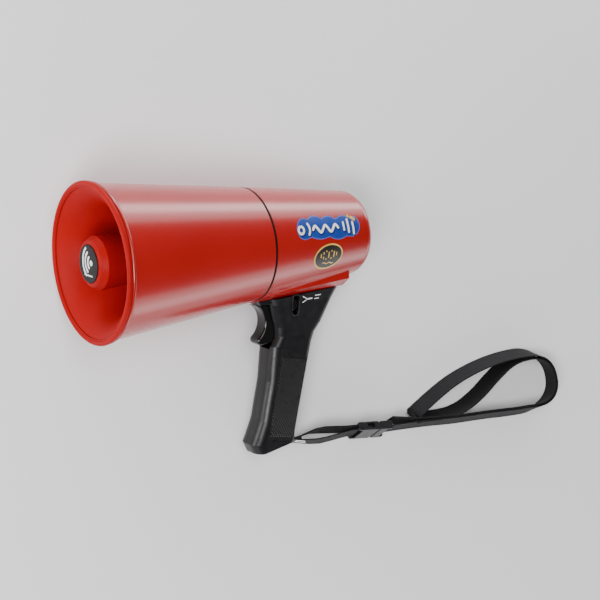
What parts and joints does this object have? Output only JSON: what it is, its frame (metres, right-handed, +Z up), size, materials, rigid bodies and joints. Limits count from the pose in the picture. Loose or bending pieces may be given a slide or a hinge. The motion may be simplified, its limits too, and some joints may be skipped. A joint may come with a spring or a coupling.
{
  "type": "handheld megaphone",
  "caption": "Battery megaphone with a reflex horn, a rear housing, a pistol handle with a talk trigger and a webbing wrist strap on a buckle, lying on its side.",
  "frame": {"origin": "on the table under the middle of the megaphone's box, strap left out", "axes": "+X along the horn's axis, seen from above, towards the rear; +Z up from the table; the handle points towards -Y"},
  "size_m": [0.5778, 0.3032, 0.1498],
  "materials": {
    "bell_red": "glossy moulded ABS",
    "flare_red": "glossy moulded ABS",
    "handle_black": "satin moulded ABS",
    "grip_black": "moulded diamond pattern",
    "trigger_black": "gloss",
    "inner_black": "matte",
    "steel": "plated",
    "magnet_iron": "plated iron and ferrite",
    "cell_jacket": null,
    "seal_rubber": "matte",
    "board_green": "solder mask",
    "component_black": "matte",
    "diaphragm_film": "phenolic film",
    "coil_copper": "enamelled copper",
    "wire_black": "matte",
    "webbing_black": "woven nylon",
    "buckle_black": "satin acetal",
    "sticker_blue": "printed film",
    "sticker_black": "printed film"
  },
  "bodies": {
    "housing": {"rear_body": "bell_red", "handle_left": "handle_black", "handle_right": "handle_black", "grip_panel_left": "grip_black", "grip_panel_right": "grip_black", "handle_screws": "steel", "saddle_screws": "steel", "rear_panel": "handle_black", "panel_screws": "steel", "mic_grille": "steel", "mic_mount": "seal_rubber", "mic_capsule": "steel", "volume_pot": "inner_black", "battery_tray": "inner_black", "batteries": "cell_jacket", "battery_contacts": "steel", "amplifier_board": "board_green", "board_parts": "component_black", "output_transformer": "magnet_iron", "trigger_pin": "steel", "trigger_spring": "steel", "talk_switch": "inner_black", "latch_spring": "steel", "signal_wire": "wire_black", "strap_lug": "inner_black", "sticker_wavy": "sticker_blue", "sticker_oval": "sticker_black"},
    "horn": {"horn_bell": "bell_red", "horn_flare": "flare_red", "seam_ring": "seal_rubber", "reflector": "flare_red", "emblem_badge": "trigger_black", "throat_tube": "inner_black", "driver_frame": "inner_black", "driver_diaphragm": "diaphragm_film", "voice_coil": "coil_copper", "driver_magnet": "magnet_iron", "driver_screws": "steel"},
    "talk_trigger": {"trigger": "trigger_black"},
    "dial": {"volume_knob": "inner_black"},
    "release": {"latch": "trigger_black"},
    "strap_front": {"strap_ring": "steel", "strap_tether": "webbing_black", "buckle_socket": "buckle_black"},
    "strap_rear": {"buckle_plug": "buckle_black", "strap_outer": "webbing_black", "strap_inner": "webbing_black", "strap_fold": "webbing_black"}
  },
  "joints": [
    {"name": "trigger_press", "type": "hinge", "parent": "housing", "child": "talk_trigger", "pos_m": [0.05066, 0.00266, 0.04157], "axis": [0.1098, -0.1763, 0.9782], "range_deg": [0, 6], "stiffness_Nm_per_rad": 0.6, "springref_deg": -6.88},
    {"name": "volume_turn", "type": "hinge", "parent": "housing", "child": "dial", "pos_m": [0.14944, 0.04768, 0.03859], "axis": [0.9938, 0, -0.1116], "range_deg": [0, 280]},
    {"name": "latch_slide", "type": "slide", "parent": "housing", "child": "release", "axis": [-0.0197, -0.9843, -0.1752], "range_m": [0, 0.004], "stiffness_N_per_m": 300, "springref_m": -0.003},
    {"name": "horn_twist", "type": "hinge", "parent": "housing", "child": "horn", "pos_m": [-0.14628, 0.06835, 0.07552], "axis": [0.9938, 0, -0.1116], "range_deg": [0, 20]},
    {"name": "ring_swing", "type": "hinge", "parent": "housing", "child": "strap_front", "pos_m": [0.06976, -0.13541, 0.01453], "axis": [-0.1098, 0.1763, -0.9782], "range_deg": [-6, 6]},
    {"name": "buckle_pull", "type": "slide", "parent": "strap_front", "child": "strap_rear", "axis": [0.9925, -0.1219, 0], "range_m": [0, 0.018]}
  ]
}
